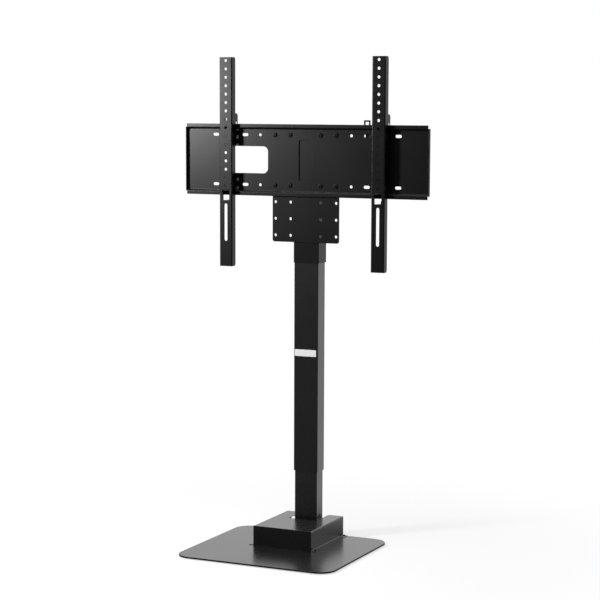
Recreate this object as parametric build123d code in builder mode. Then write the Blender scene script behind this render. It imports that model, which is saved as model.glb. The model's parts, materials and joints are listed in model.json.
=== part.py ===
from build123d import *
import os

# Motorized floor stand: a flat base, a telescoping column with a screw lift, and a mounting
# head with two sliding screen arms. Millimetres, +Z up, the front faces -Y, and the origin
# lies under the centre of the base, on the floor.
os.makedirs("parts", exist_ok=True)

# Clearances
slide_gap = 0.2       # between flat faces that slide or slip together
play = 0.3            # between curved faces on different bodies
running = 0.05        # radial, a shaft in its bore
screw_fit = 0.05      # radial, a screw in its tapped hole
hole_slack = 0.25     # radial, a screw in a plain hole

# Screw heads: head radius, head height and half the socket's width across flats
small_head = (2.6, 1.8, 0.9)
m4_head = (3.5, 2.4, 1.25)
m5_head = (4.5, 2.6, 1.5)
m6_head = (5.2, 3.0, 2.0)
m8_head = (7.0, 4.4, 2.5)

# Base
base_width = 504.0
base_depth = 454.0
base_thickness = 5.0
base_corner = 50.0
pad_height = 3.0
pad_radius = 15.0
pad_inset = 42.0      # pad centre from the base's edges
base_edge = 0.6
pad_edge = 0.8

# Cover over the column's foot
cover_width = 192.0
cover_depth = 236.0
cover_height = 60.0
cover_sheet = 1.5
cover_bend = 2.0      # inside radius of every fold
cover_flange = 15.0
cover_lip = 15.0      # folded in round the open back
notch_width = 92.0
notch_ahead = 20.3    # from the notch's front edge to the outer tube's front face
notch_corner = 3.0
cover_flange_corner = 3.0
cover_tip_corner = 8.0
cover_screw_out = 6.0  # from the cover's side wall
cover_screw_front = 18.5
cover_screw_rear = 6.0
cover_screw_radius = 2.0

# Column, fixed inner tube and moving outer tube
column_to_back = 47.5  # column axis to the base's back edge
inner_width = 74.6
inner_depth = 44.6
inner_wall = 2.0
inner_corner = 2.5
inner_length = 804.0
guide_gap = 1.2       # inner tube to outer tube
outer_wall = 1.5
outer_corner = 2.5
outer_length = 1021.0
lift_rest = 146.0     # outer tube's lower end above the cover in the photographed pose
side_hole_radius = 3.5
side_hole_rise = 6.0  # above the cover

# Foot
foot_width = 150.0
foot_depth = 110.0
foot_thickness = 8.0
foot_back = 40.0      # behind the column axis
foot_spread_x = 120.0
foot_spread_y = 80.0
foot_screw_radius = 4.0
foot_corner = 8.0
foot_socket = 2.5
countersink_slack = 0.5

# Glides
glide_length = 60.0
glide_front = 50.0
glide_side = 22.0
glide_inset = 10.0    # below the inner tube's top
mouth_inset = 2.0     # above the outer tube's lower end

# Lead screw and nut
screw_radius = 8.0
journal_radius = 6.0
collar_radius = 13.0
collar_height = 6.0
screw_length = 650.0
screw_tip = 1.5
carrier_depth = 20.0
carrier_top = 4.0
nut_body_radius = 12.0
nut_flange_radius = 19.0
nut_flange = 8.0
nut_bolt_circle = 15.5
nut_screw_radius = 2.0

# Drive at the top of the outer tube
mount_drop = 185.0    # motor mount's top face below the outer tube's top
mount_thickness = 12.0
gearbox_radius = 19.0
gearbox_length = 62.0
gearbox_pilot = 7.0
gearbox_bore = 12.0
gearbox_tapped = 8.0
groove_height = 2.0
groove_depth = 0.6
motor_radius = 18.0
motor_length = 105.0
motor_edge = 2.0
shaft_in_gearbox = 10.0
shaft_gap = 0.5       # between the two shaft ends in the coupling
block_gap = 24.0      # bearing block to motor mount
block_thickness = 14.0
bearing_radius = 16.0
bearing_height = 10.0
coupling_radius = 11.0
coupling_length = 20.0
gearbox_bolt_circle = 14.0
gearbox_screw_radius = 2.0
stack_screw_spread = 44.0
stack_screw_radius = 2.5
stack_screw_depth = 8.0
cap_thickness = 3.0
cap_skirt = 12.0
cap_wall = 2.0
cap_edge = 1.0
gland_radius = 8.0
gland_height = 4.0
gland_tail = 2.0      # below the cap's sheet
gland_bore = 3.5
gland_wall = 1.5

# Head bracket, a channel round the column
bracket_wall = 1.5
bracket_depth = 55.0
bracket_bend = 3.0
bracket_down = 307.0  # lower end below the plate's centre
bracket_up = 71.0
bracket_screw_radius = 3.0
bracket_screw_low = 80.0   # from the bracket's lower end
bracket_screw_high = 14.0  # from its upper end
bracket_screw_back = 31.8  # behind the bracket's front face

# Plates
plate_below_top = 76.0  # plate centre below the outer tube's top
adapter_thickness = 5.0
adapter_side = 9.5    # outer hole columns to the adapter's sides
adapter_margin = 20.0
adapter_rows = 7
adapter_corner = 7.0
hole_pitch = 50.0
hole_radius = 4.5
plate_sheet = 3.0
plate_width = 800.0
row_steps = 3         # hole pitches between the plate's two hole rows
row_margin = 22.5     # hole rows to the plate's bends
lip_height = 10.0
flange_depth = 10.0
lip_end = 4.0         # the lips stop this far from the plate's ends
plate_bend = 3.5
plate_side_bend = 1.0
slot_length = 19.5
window_width = 152.0
window_height = 81.0
window_corner = 16.0
window_x = -200.0
opening_width = 42.0
opening_height = 122.0
opening_corner = 8.0
bolt_radius = 4.0
bolt_tail = 2.0       # past the nut
nut_across = 13.0
nut_height = 6.5

# Screen arms
arm_x = 250.0
arm_width = 43.0
arm_sheet = 2.5
arm_depth = 22.8
arm_bend = 3.5
arm_corner = 8.0      # rear corners of the side walls
arm_length = 629.0
arm_top = 306.0       # above the plate's centre
arm_hole_first = 10.0
arm_hole_pitch = 25.0
arm_hole_count = 16
arm_hole_radius = 4.5
arm_slot_width = 10.0
arm_slot_length = 113.5
arm_slot_top = 132.5  # below the plate's centre
window_top = 90.0
arm_window_width = 23.0
arm_window_height = 32.5
arm_window_corner = 3.0
hook_rise = 31.5      # above the lip
hook_reach = 16.0     # behind the lip's front face
hook_throat = 9.5
hook_relief = 6.0
hook_corner = 10.0
hook_end_gap = 0.8
hook_root = 5.0       # how far the hook's sheet runs into the arm's flange
tab_width = 18.0
tab_reach = 35.5      # from the arm's front face
lock_radius = 3.0
lock_back = 29.4      # behind the arm's front face
lock_length = 36.0
lock_head_radius = 6.0
lock_head_height = 7.0
lock_flute = 0.8
lock_flutes = 10
lock_tip_edge = 0.8
lock_nut_side = 10.0
lock_nut_depth = 9.0
lock_nut_height = 5.0
lock_tips = {"left": 4.0, "right": 8.0}  # tip above the tab in the photographed pose

# Blank label
label_left = 2.8      # label's left edge inside the outer tube's left side
label_right = 6.0
label_height = 20.5
label_thickness = 0.3
label_corner = 1.5
label_rise = 364.4    # label centre above the outer tube's lower end

# Control box and its bracket behind the plate
holder_sheet = 2.0
holder_corner = 4.0
holder_gap = 7.0      # plate to holder
holder_left = 191.0
holder_right = 268.0
holder_low = -62.0
holder_high = 95.0
loop_width = 21.0
strap_width = 15.5
loop_window_width = 11.0
loop_window_height = 8.5
loop_side = 5.0
loop_corner = 1.5
strap_overlap = 10.0  # the loop's strap runs this far down onto the holder
loop_top = 121.0
spacer_radius = 5.0
spacer_screw_radius = 2.5
spacer_x = 235.0
spacer_z = (78.0, -48.0)
box_width = 61.0
box_depth = 26.0
box_height = 108.0
box_x = 235.5
box_z = 10.0
box_wall = 2.0
box_corner = 4.0
post_radius = 3.5
post_inset = 6.0
post_bore = 1.3
post_depth = 12.0     # of the screw bores in the posts
stand_radius = 4.0
stand_floor = 1.5     # left under the board at the tray screws
tray_screw_grip = 4.0
lid_screw_grip = 9.0
tray_screw_inset = 20.0
lid_thickness = 2.0
lid_lip = 3.0
lid_lip_wall = 1.5
lid_edge = 0.8
board_width = 50.0
board_height = 84.0
board_thickness = 1.6
board_stand = 6.0
switch_side = 6.0
switch_height = 6.4
switch_z = 22.0       # above the box's centre
transformer = (16.0, 22.0, -12.0, -20.0)  # width, height, and place from the box's centre
relays = ((12.0, 15.0, 14.0, -22.0), (12.0, 15.0, 14.0, 2.0))
button_radius = 3.0
button_flange = 1.2
button_flange_height = 1.0
button_stem = 2.0
button_proud = 1.5
button_travel = 1.2
inlet_width = 20.0
inlet_depth = 12.0
inlet_length = 12.0
inlet_rim = 2.0
inlet_wall = 2.0
inlet_corner = 3.5
rim_height = 1.5
recess_depth = 6.5    # of both sockets, from the box's face
socket_radius = 6.5
socket_length = 12.0
socket_wall = 1.5

# Places worked out from the sizes
adapter_width = 4 * hole_pitch + 2 * adapter_side
row_spread = row_steps * hole_pitch
web_height = row_spread + 2 * row_margin
base_top = pad_height + base_thickness
cover_top = base_top + cover_height
foot_top = base_top + foot_thickness
inner_top = foot_top + inner_length
outer_bottom = cover_top + lift_rest
outer_top = outer_bottom + outer_length
plate_z = outer_top - plate_below_top
outer_width = inner_width + 2 * (guide_gap + outer_wall)
outer_depth = inner_depth + 2 * (guide_gap + outer_wall)
bore_width = outer_width - 2 * outer_wall
bore_depth = outer_depth - 2 * outer_wall
block_width = bore_width - 2 * slide_gap
block_depth = bore_depth - 2 * slide_gap
column_y = base_depth / 2 - column_to_back
outer_front = column_y - outer_depth / 2
outer_back = column_y + outer_depth / 2
bracket_front = outer_front - slide_gap - bracket_wall
bracket_half = outer_width / 2 + slide_gap + bracket_wall
adapter_front = bracket_front - adapter_thickness
web_front = adapter_front - plate_sheet
lip_front = web_front - flange_depth
lip_back = lip_front + plate_sheet
plate_half_height = web_height / 2 + lip_height
lip_top = plate_z + plate_half_height
arm_back = lip_front - slide_gap
arm_front = arm_back - arm_depth
cover_back = base_depth / 2
cover_front = cover_back - cover_depth
notch_front = outer_front - notch_ahead
foot_y = column_y + foot_back - foot_depth / 2
glide_thickness = guide_gap - 0.25
mount_top = outer_top - mount_drop
mount_bottom = mount_top - mount_thickness
block_top = mount_bottom - block_gap
block_bottom = block_top - block_thickness
collar_top = block_bottom - 0.1
screw_top = collar_top - collar_height
coupling_bottom = block_top + shaft_gap
shaft_split = coupling_bottom + coupling_length / 2
nut_top = inner_top + carrier_top + nut_flange
holder_front = web_front + plate_sheet + holder_gap
box_front = holder_front + holder_sheet
lid_front = box_front + box_depth
row_z = (plate_z - row_spread / 2, plate_z + row_spread / 2)
tab_top = plate_z - window_top - arm_window_height
tab_bottom = tab_top - arm_sheet
lock_y = arm_front + lock_back


def round_screw(radius, length, head):
    """A round headed screw: head above the local origin, shank below it, hexagon socket."""
    head_radius, head_height, socket = head
    with BuildPart() as screw:
        with BuildSketch(Plane.XZ):
            with BuildLine():
                Polyline((0, -length), (radius - 0.3, -length), (radius, -length + 0.3), (radius, 0),
                         (head_radius, 0), (head_radius, head_height * 0.35))
                ThreePointArc((head_radius, head_height * 0.35),
                              (head_radius * 0.86, head_height * 0.8), (head_radius * 0.55, head_height))
                Polyline((head_radius * 0.55, head_height), (0, head_height), (0, -length))
            make_face()
        revolve(axis=Axis.Z)
        with BuildSketch(Plane.XY.offset(head_height)):
            RegularPolygon(radius=socket, side_count=6, major_radius=False)
        extrude(amount=-head_height * 0.55, mode=Mode.SUBTRACT)
    return screw.part


def tube_section(width, depth, wall, corner):
    """A rounded rectangular tube's section in the current sketch."""
    RectangleRounded(width, depth, corner)
    RectangleRounded(width - 2 * wall, depth - 2 * wall, max(corner - wall, 0.2), mode=Mode.SUBTRACT)


def facing(direction, x, y, z):
    """A location whose local +Z points along the named world direction."""
    turns = {"front": (90, 0, 0), "back": (-90, 0, 0), "right": (0, 90, 0), "left": (0, -90, 0),
             "down": (180, 0, 0), "up": (0, 0, 0)}
    return Location((x, y, z), turns[direction])


# Base plate with countersunk holes for the foot
foot_spots = [(x, foot_y + y) for x in (-foot_spread_x / 2, foot_spread_x / 2)
              for y in (-foot_spread_y / 2, foot_spread_y / 2)]
cover_screw_x = cover_width / 2 + cover_screw_out
cover_spots = [(x, y) for x in (-cover_screw_x, cover_screw_x)
               for y in (cover_front + cover_screw_front, cover_back - cover_screw_rear)]
with BuildPart() as base_plate:
    with BuildSketch(Plane.XY.offset(pad_height)):
        RectangleRounded(base_width, base_depth, base_corner)
        with Locations(*foot_spots):
            Circle(foot_screw_radius + countersink_slack, mode=Mode.SUBTRACT)
        with Locations(*cover_spots):
            Circle(cover_screw_radius + screw_fit, mode=Mode.SUBTRACT)
    extrude(amount=base_thickness)
    outline = base_plate.faces().sort_by(Axis.Z)[-1].outer_wire()
    fillet(outline.edges(), radius=base_edge)
    with Locations(*[Location((x, y, pad_height)) for x, y in foot_spots]):
        Cone(bottom_radius=2 * foot_screw_radius + countersink_slack,
             top_radius=foot_screw_radius + countersink_slack,
             height=foot_screw_radius, align=(Align.CENTER, Align.CENTER, Align.MIN), mode=Mode.SUBTRACT)
base_plate.part.label = "base_plate"
export_step(base_plate.part, "parts/base_plate.step")

# Rubber pads under the base
pad_x = base_width / 2 - pad_inset
pad_y = base_depth / 2 - pad_inset
with BuildPart() as base_pads:
    with GridLocations(pad_x, 2 * pad_y, 3, 2):
        Cylinder(pad_radius, pad_height, align=(Align.CENTER, Align.CENTER, Align.MIN))
    rims = base_pads.edges().filter_by(GeomType.CIRCLE).group_by(Axis.Z)[0]
    chamfer(rims, length=pad_edge)
base_pads.part.label = "base_pads"
export_step(base_pads.part, "parts/base_pads.step")

# Folded sheet cover, open at the back and round the column
cover_half = cover_width / 2 - cover_sheet
face_half = cover_width / 2 - cover_sheet / 2
flange_fold = cover_bend + cover_sheet
tip_x = notch_width / 2 + cover_tip_corner
lip_x = cover_width / 2 - cover_lip
lip_low = base_top + cover_sheet + flange_fold
notch_reach = cover_back - notch_front + notch_corner
with BuildPart() as base_cover:
    with BuildSketch(Plane.XZ.offset(-cover_front)) as cover_section:
        with BuildLine():
            FilletPolyline((-cover_half - cover_sheet - cover_flange, base_top), (-cover_half, base_top),
                           (-cover_half, cover_top - cover_sheet), (cover_half, cover_top - cover_sheet),
                           (cover_half, base_top), (cover_half + cover_sheet + cover_flange, base_top),
                           radius=(flange_fold, cover_bend, cover_bend, flange_fold))
            offset(amount=cover_sheet, side=Side.LEFT)
        make_face()
    extrude(amount=-cover_depth)
    with BuildSketch(Plane.XZ.offset(-cover_front)):
        with BuildLine():
            Polyline((-face_half, base_top), (-face_half, cover_top - 2 * cover_bend),
                     (-cover_half + cover_bend, cover_top - cover_sheet / 2),
                     (cover_half - cover_bend, cover_top - cover_sheet / 2),
                     (face_half, cover_top - 2 * cover_bend), (face_half, base_top), close=True)
        make_face()
    extrude(amount=-cover_sheet)
    with BuildSketch(Plane.XY.offset(cover_top)):
        with Locations((0, notch_front + notch_reach / 2)):
            RectangleRounded(notch_width, notch_reach, notch_corner)
    extrude(amount=-2 * cover_sheet, mode=Mode.SUBTRACT)
    with BuildSketch(Plane.XY.offset(base_top)):
        with Locations(*cover_spots):
            Circle(cover_screw_radius + hole_slack)
    extrude(amount=cover_sheet, mode=Mode.SUBTRACT)
    uprights = base_cover.edges().filter_by(Axis.Z).group_by(Axis.X)
    fillet(uprights[0] + uprights[-1], radius=cover_flange_corner)
    rear = base_cover.edges().filter_by(Axis.Z).group_by(Axis.Y)[-1]
    fillet(rear.filter_by(lambda edge: edge.center().Z > cover_top - cover_sheet), radius=cover_tip_corner)
    for sign in (-1, 1):
        with BuildSketch(Plane.XZ.offset(-cover_back)):
            with BuildLine():
                Polyline((sign * face_half, lip_low), (sign * face_half, cover_top - 2 * cover_bend),
                         (sign * (cover_half - cover_bend), cover_top - cover_sheet / 2),
                         (sign * tip_x, cover_top - cover_sheet / 2), (sign * tip_x, cover_top - cover_lip),
                         (sign * lip_x, cover_top - cover_lip), (sign * lip_x, lip_low), close=True)
            make_face()
        extrude(amount=cover_sheet)
base_cover.part.label = "base_cover"
export_step(base_cover.part, "parts/base_cover.step")

# Screws of the cover
cover_screw = round_screw(cover_screw_radius, base_thickness + cover_sheet - 0.5, m4_head)
with BuildPart() as cover_screws:
    with Locations(*[Location((x, y, base_top + cover_sheet)) for x, y in cover_spots]):
        add(cover_screw)
cover_screws.part.label = "cover_screws"
export_step(cover_screws.part, "parts/cover_screws.step")

# Foot plate that carries the column
with BuildPart() as foot_plate:
    with BuildSketch(Plane.XY.offset(base_top)):
        with Locations((0, foot_y)):
            RectangleRounded(foot_width, foot_depth, foot_corner)
        with Locations(*foot_spots):
            Circle(foot_screw_radius + screw_fit, mode=Mode.SUBTRACT)
    extrude(amount=foot_thickness)
foot_plate.part.label = "foot_plate"
export_step(foot_plate.part, "parts/foot_plate.step")

# Countersunk screws from below the base into the foot plate
with BuildPart() as foot_screw:
    Cone(bottom_radius=2 * foot_screw_radius, top_radius=foot_screw_radius, height=foot_screw_radius,
         align=(Align.CENTER, Align.CENTER, Align.MIN))
    Cylinder(foot_screw_radius, base_thickness + foot_thickness - 1,
             align=(Align.CENTER, Align.CENTER, Align.MIN))
    with BuildSketch(Plane.XY):
        RegularPolygon(radius=foot_socket, side_count=6, major_radius=False)
    extrude(amount=foot_socket, mode=Mode.SUBTRACT)
with BuildPart() as foot_screws:
    with Locations(*[Location((x, y, pad_height)) for x, y in foot_spots]):
        add(foot_screw.part)
foot_screws.part.label = "foot_screws"
export_step(foot_screws.part, "parts/foot_screws.step")

# Fixed inner tube
with BuildPart() as inner_tube:
    with BuildSketch(Plane.XY.offset(foot_top)):
        with Locations((0, column_y)):
            tube_section(inner_width, inner_depth, inner_wall, inner_corner)
    extrude(amount=inner_length)
    with Locations(facing("right", 0, column_y, cover_top + side_hole_rise)):
        Cylinder(side_hole_radius, inner_width + 10, mode=Mode.SUBTRACT)
inner_tube.part.label = "inner_tube"
export_step(inner_tube.part, "parts/inner_tube.step")

# Nut carrier welded into the inner tube's top
carrier_plane = Plane.XY.offset(inner_top)
with BuildPart() as nut_carrier:
    with BuildSketch(carrier_plane):
        with Locations((0, column_y)):
            RectangleRounded(inner_width, inner_depth, inner_corner)
    extrude(amount=carrier_top)
    with BuildSketch(carrier_plane):
        with Locations((0, column_y)):
            RectangleRounded(inner_width - 2 * inner_wall - 2 * slide_gap,
                             inner_depth - 2 * inner_wall - 2 * slide_gap, inner_corner - inner_wall)
    extrude(amount=-carrier_depth)
    with BuildSketch(Plane.XY.offset(inner_top + carrier_top)):
        with Locations((0, column_y)):
            Circle(nut_body_radius + screw_fit)
            with PolarLocations(nut_bolt_circle, 4, start_angle=45):
                Circle(nut_screw_radius + screw_fit)
    extrude(amount=-carrier_top - carrier_depth, mode=Mode.SUBTRACT)
nut_carrier.part.label = "nut_carrier"
export_step(nut_carrier.part, "parts/nut_carrier.step")

# Flanged lift nut on the lead screw
with BuildPart() as lift_nut:
    with Locations((0, column_y, inner_top + carrier_top)):
        Cylinder(nut_flange_radius, nut_flange, align=(Align.CENTER, Align.CENTER, Align.MIN))
        Cylinder(nut_body_radius, carrier_top + carrier_depth, align=(Align.CENTER, Align.CENTER, Align.MAX))
        Cylinder(screw_radius + running, 100, mode=Mode.SUBTRACT)
        with PolarLocations(nut_bolt_circle, 4, start_angle=45):
            Cylinder(nut_screw_radius + hole_slack, 3 * nut_flange, mode=Mode.SUBTRACT)
lift_nut.part.label = "lift_nut"
export_step(lift_nut.part, "parts/lift_nut.step")

# Screws of the lift nut
nut_screw = round_screw(nut_screw_radius, nut_flange + carrier_top + 6, m4_head)
with BuildPart() as nut_screws:
    with Locations((0, column_y, nut_top)):
        with PolarLocations(nut_bolt_circle, 4, start_angle=45):
            add(nut_screw)
nut_screws.part.label = "nut_screws"
export_step(nut_screws.part, "parts/nut_screws.step")

# Glide pads on the inner tube's top, inside the outer tube
with BuildPart() as inner_glides:
    with Locations((0, column_y, inner_top - glide_inset)):
        with Locations((0, -(inner_depth + glide_thickness) / 2), (0, (inner_depth + glide_thickness) / 2)):
            Box(glide_front, glide_thickness, glide_length, align=(Align.CENTER, Align.CENTER, Align.MAX))
        with Locations((-(inner_width + glide_thickness) / 2, 0), ((inner_width + glide_thickness) / 2, 0)):
            Box(glide_thickness, glide_side, glide_length, align=(Align.CENTER, Align.CENTER, Align.MAX))
inner_glides.part.label = "inner_glides"
export_step(inner_glides.part, "parts/inner_glides.step")

# Moving outer tube
stack_x = (-stack_screw_spread / 2, stack_screw_spread / 2)
stack_bore = 2 * (outer_wall + slide_gap + stack_screw_depth)
stack_spots = [(x, z) for x in stack_x
               for z in (mount_bottom + mount_thickness / 2, block_bottom + block_thickness / 2)]
bracket_low = plate_z - bracket_down
bracket_high = plate_z + bracket_up
bracket_screw_y = bracket_front + bracket_screw_back
bracket_screw_z = (bracket_low + bracket_screw_low, bracket_high - bracket_screw_high)
with BuildPart() as outer_tube:
    with BuildSketch(Plane.XY.offset(outer_bottom)):
        with Locations((0, column_y)):
            tube_section(outer_width, outer_depth, outer_wall, outer_corner)
    extrude(amount=outer_length)
    with Locations(*[facing("back", x, outer_back, z) for x, z in stack_spots]):
        Cylinder(stack_screw_radius + hole_slack, 4 * outer_wall, mode=Mode.SUBTRACT)
    with Locations(*[facing("right", 0, bracket_screw_y, z) for z in bracket_screw_z]):
        Cylinder(bracket_screw_radius + screw_fit, outer_width + 10, mode=Mode.SUBTRACT)
outer_tube.part.label = "outer_tube"
export_step(outer_tube.part, "parts/outer_tube.step")

# Glide pads in the outer tube's mouth
with BuildPart() as mouth_glides:
    with Locations((0, column_y, outer_bottom + mouth_inset)):
        with Locations((0, -(bore_depth - glide_thickness) / 2), (0, (bore_depth - glide_thickness) / 2)):
            Box(glide_front, glide_thickness, glide_length, align=(Align.CENTER, Align.CENTER, Align.MIN))
        with Locations((-(bore_width - glide_thickness) / 2, 0), ((bore_width - glide_thickness) / 2, 0)):
            Box(glide_thickness, glide_side, glide_length, align=(Align.CENTER, Align.CENTER, Align.MIN))
mouth_glides.part.label = "mouth_glides"
export_step(mouth_glides.part, "parts/mouth_glides.step")

# Blank label on the outer tube
with BuildPart() as blank_label:
    with BuildSketch(Plane.XZ.offset(-outer_front)):
        with Locations(((label_left - label_right) / 2, outer_bottom + label_rise)):
            RectangleRounded(outer_width - label_left - label_right, label_height, label_corner)
    extrude(amount=label_thickness)
blank_label.part.label = "blank_label"
export_step(blank_label.part, "parts/blank_label.step")

# Cap that closes the outer tube, with a skirt inside it
gland_y = column_y + bore_depth / 4
with BuildPart() as outer_cap:
    with BuildSketch(Plane.XY.offset(outer_top)):
        with Locations((0, column_y)):
            RectangleRounded(outer_width, outer_depth, outer_corner)
    extrude(amount=cap_thickness)
    fillet(outer_cap.faces().sort_by(Axis.Z)[-1].edges(), radius=cap_edge)
    with BuildSketch(Plane.XY.offset(outer_top)):
        with Locations((0, column_y)):
            tube_section(block_width, block_depth, cap_wall, outer_corner - outer_wall)
    extrude(amount=-cap_skirt)
    with Locations((0, gland_y, outer_top)):
        Cylinder(gland_bore + gland_wall + screw_fit, 2 * cap_skirt, mode=Mode.SUBTRACT)
outer_cap.part.label = "outer_cap"
export_step(outer_cap.part, "parts/outer_cap.step")

# Cable gland in the cap
with BuildPart() as cable_gland:
    with Locations((0, gland_y, outer_top + cap_thickness)):
        Cylinder(gland_radius, gland_height, align=(Align.CENTER, Align.CENTER, Align.MIN))
        Cylinder(gland_bore + gland_wall, cap_thickness + gland_tail,
                 align=(Align.CENTER, Align.CENTER, Align.MAX))
        Cylinder(gland_bore, 4 * (cap_thickness + gland_height), mode=Mode.SUBTRACT)
cable_gland.part.label = "cable_gland"
export_step(cable_gland.part, "parts/cable_gland.step")

# Motor mount block in the outer tube
with BuildPart() as motor_mount:
    with BuildSketch(Plane.XY.offset(mount_bottom)):
        with Locations((0, column_y)):
            RectangleRounded(block_width, block_depth, outer_corner - outer_wall)
            Circle(gearbox_pilot, mode=Mode.SUBTRACT)
            with PolarLocations(gearbox_bolt_circle, 4, start_angle=45):
                Circle(gearbox_screw_radius + hole_slack, mode=Mode.SUBTRACT)
    extrude(amount=mount_thickness)
    with Locations(*[facing("back", x, outer_back, mount_bottom + mount_thickness / 2) for x in stack_x]):
        Cylinder(stack_screw_radius + screw_fit, stack_bore, mode=Mode.SUBTRACT)
motor_mount.part.label = "motor_mount"
export_step(motor_mount.part, "parts/motor_mount.step")

# Gearbox on the mount, with the motor above it
with BuildPart() as gearbox:
    with Locations((0, column_y, mount_top)):
        Cylinder(gearbox_radius, gearbox_length, align=(Align.CENTER, Align.CENTER, Align.MIN))
        Cylinder(journal_radius + running, 2 * gearbox_bore, mode=Mode.SUBTRACT)
        with PolarLocations(gearbox_bolt_circle, 4, start_angle=45):
            Cylinder(gearbox_screw_radius + screw_fit, 2 * gearbox_tapped, mode=Mode.SUBTRACT)
    with BuildSketch(Plane.XY.offset(mount_top + gearbox_length / 3)):
        with Locations((0, column_y)):
            Circle(gearbox_radius + 1)
            Circle(gearbox_radius - groove_depth, mode=Mode.SUBTRACT)
    extrude(amount=groove_height, mode=Mode.SUBTRACT)
gearbox.part.label = "gearbox"
export_step(gearbox.part, "parts/gearbox.step")

with BuildPart() as motor:
    with Locations((0, column_y, mount_top + gearbox_length)):
        Cylinder(motor_radius, motor_length, align=(Align.CENTER, Align.CENTER, Align.MIN))
    fillet(motor.edges().filter_by(GeomType.CIRCLE).sort_by(Axis.Z)[-1], radius=motor_edge)
motor.part.label = "motor"
export_step(motor.part, "parts/motor.step")

# Screws that hold the gearbox to its mount
gearbox_screw = round_screw(gearbox_screw_radius, mount_thickness + gearbox_tapped - 1, m4_head)
with BuildPart() as gearbox_screws:
    with Locations(facing("down", 0, column_y, mount_bottom)):
        with PolarLocations(gearbox_bolt_circle, 4, start_angle=45):
            add(gearbox_screw)
gearbox_screws.part.label = "gearbox_screws"
export_step(gearbox_screws.part, "parts/gearbox_screws.step")

# Bearing block below the coupling
with BuildPart() as bearing_block:
    with BuildSketch(Plane.XY.offset(block_bottom)):
        with Locations((0, column_y)):
            RectangleRounded(block_width, block_depth, outer_corner - outer_wall)
            Circle(journal_radius + play, mode=Mode.SUBTRACT)
    extrude(amount=block_thickness)
    with Locations((0, column_y, block_bottom)):
        Cylinder(bearing_radius + screw_fit, 2 * bearing_height, mode=Mode.SUBTRACT)
    with Locations(*[facing("back", x, outer_back, block_bottom + block_thickness / 2) for x in stack_x]):
        Cylinder(stack_screw_radius + screw_fit, stack_bore, mode=Mode.SUBTRACT)
bearing_block.part.label = "bearing_block"
export_step(bearing_block.part, "parts/bearing_block.step")

# Thrust bearing in the block
with BuildPart() as thrust_bearing:
    with Locations((0, column_y, block_bottom)):
        Cylinder(bearing_radius, bearing_height, align=(Align.CENTER, Align.CENTER, Align.MIN))
        Cylinder(journal_radius + running, 4 * bearing_height, mode=Mode.SUBTRACT)
thrust_bearing.part.label = "thrust_bearing"
export_step(thrust_bearing.part, "parts/thrust_bearing.step")

# Screws through the outer tube's back into both blocks
stack_screw = round_screw(stack_screw_radius, outer_wall + slide_gap + stack_screw_depth - 1, m5_head)
with BuildPart() as stack_screws:
    with Locations(*[facing("back", x, outer_back, z) for x, z in stack_spots]):
        add(stack_screw)
stack_screws.part.label = "stack_screws"
export_step(stack_screws.part, "parts/stack_screws.step")

# Lead screw, with the collar that pushes the bearing up
with BuildPart() as lead_screw:
    with Locations((0, column_y, screw_top)):
        Cylinder(screw_radius, screw_length, align=(Align.CENTER, Align.CENTER, Align.MAX))
        Cylinder(collar_radius, collar_height, align=(Align.CENTER, Align.CENTER, Align.MIN))
        Cylinder(journal_radius, shaft_split - screw_top, align=(Align.CENTER, Align.CENTER, Align.MIN))
    chamfer(lead_screw.edges().filter_by(GeomType.CIRCLE).sort_by(Axis.Z)[0], length=screw_tip)
lead_screw.part.label = "lead_screw"
export_step(lead_screw.part, "parts/lead_screw.step")

# Gearbox output shaft and the coupling that joins it to the lead screw
with BuildPart() as output_shaft:
    with Locations((0, column_y, shaft_split + shaft_gap)):
        Cylinder(journal_radius, mount_top + shaft_in_gearbox - shaft_split,
                 align=(Align.CENTER, Align.CENTER, Align.MIN))
output_shaft.part.label = "output_shaft"
export_step(output_shaft.part, "parts/output_shaft.step")

with BuildPart() as shaft_coupling:
    with Locations((0, column_y, coupling_bottom)):
        Cylinder(coupling_radius, coupling_length, align=(Align.CENTER, Align.CENTER, Align.MIN))
        Cylinder(journal_radius + running, 4 * coupling_length, mode=Mode.SUBTRACT)
shaft_coupling.part.label = "shaft_coupling"
export_step(shaft_coupling.part, "parts/shaft_coupling.step")

# Head bracket, a channel open at the back, screwed to the outer tube
with BuildPart() as head_bracket:
    with BuildSketch(Plane.XY.offset(bracket_low)):
        with BuildLine():
            FilletPolyline((-bracket_half, bracket_front + bracket_depth), (-bracket_half, bracket_front),
                           (bracket_half, bracket_front), (bracket_half, bracket_front + bracket_depth),
                           radius=bracket_bend)
            offset(amount=bracket_wall, side=Side.LEFT)
        make_face()
    extrude(amount=bracket_high - bracket_low)
    with Locations(*[facing("right", 0, bracket_screw_y, z) for z in bracket_screw_z]):
        Cylinder(bracket_screw_radius + hole_slack, 2 * bracket_half + 10, mode=Mode.SUBTRACT)
head_bracket.part.label = "head_bracket"
export_step(head_bracket.part, "parts/head_bracket.step")

# Side screws of the head bracket
bracket_screw = round_screw(bracket_screw_radius, bracket_wall + slide_gap + outer_wall, m6_head)
with BuildPart() as bracket_screws:
    with Locations(*[facing(side, sign * bracket_half, bracket_screw_y, z)
                     for side, sign in (("left", -1), ("right", 1)) for z in bracket_screw_z]):
        add(bracket_screw)
bracket_screws.part.label = "bracket_screws"
export_step(bracket_screws.part, "parts/bracket_screws.step")

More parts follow.
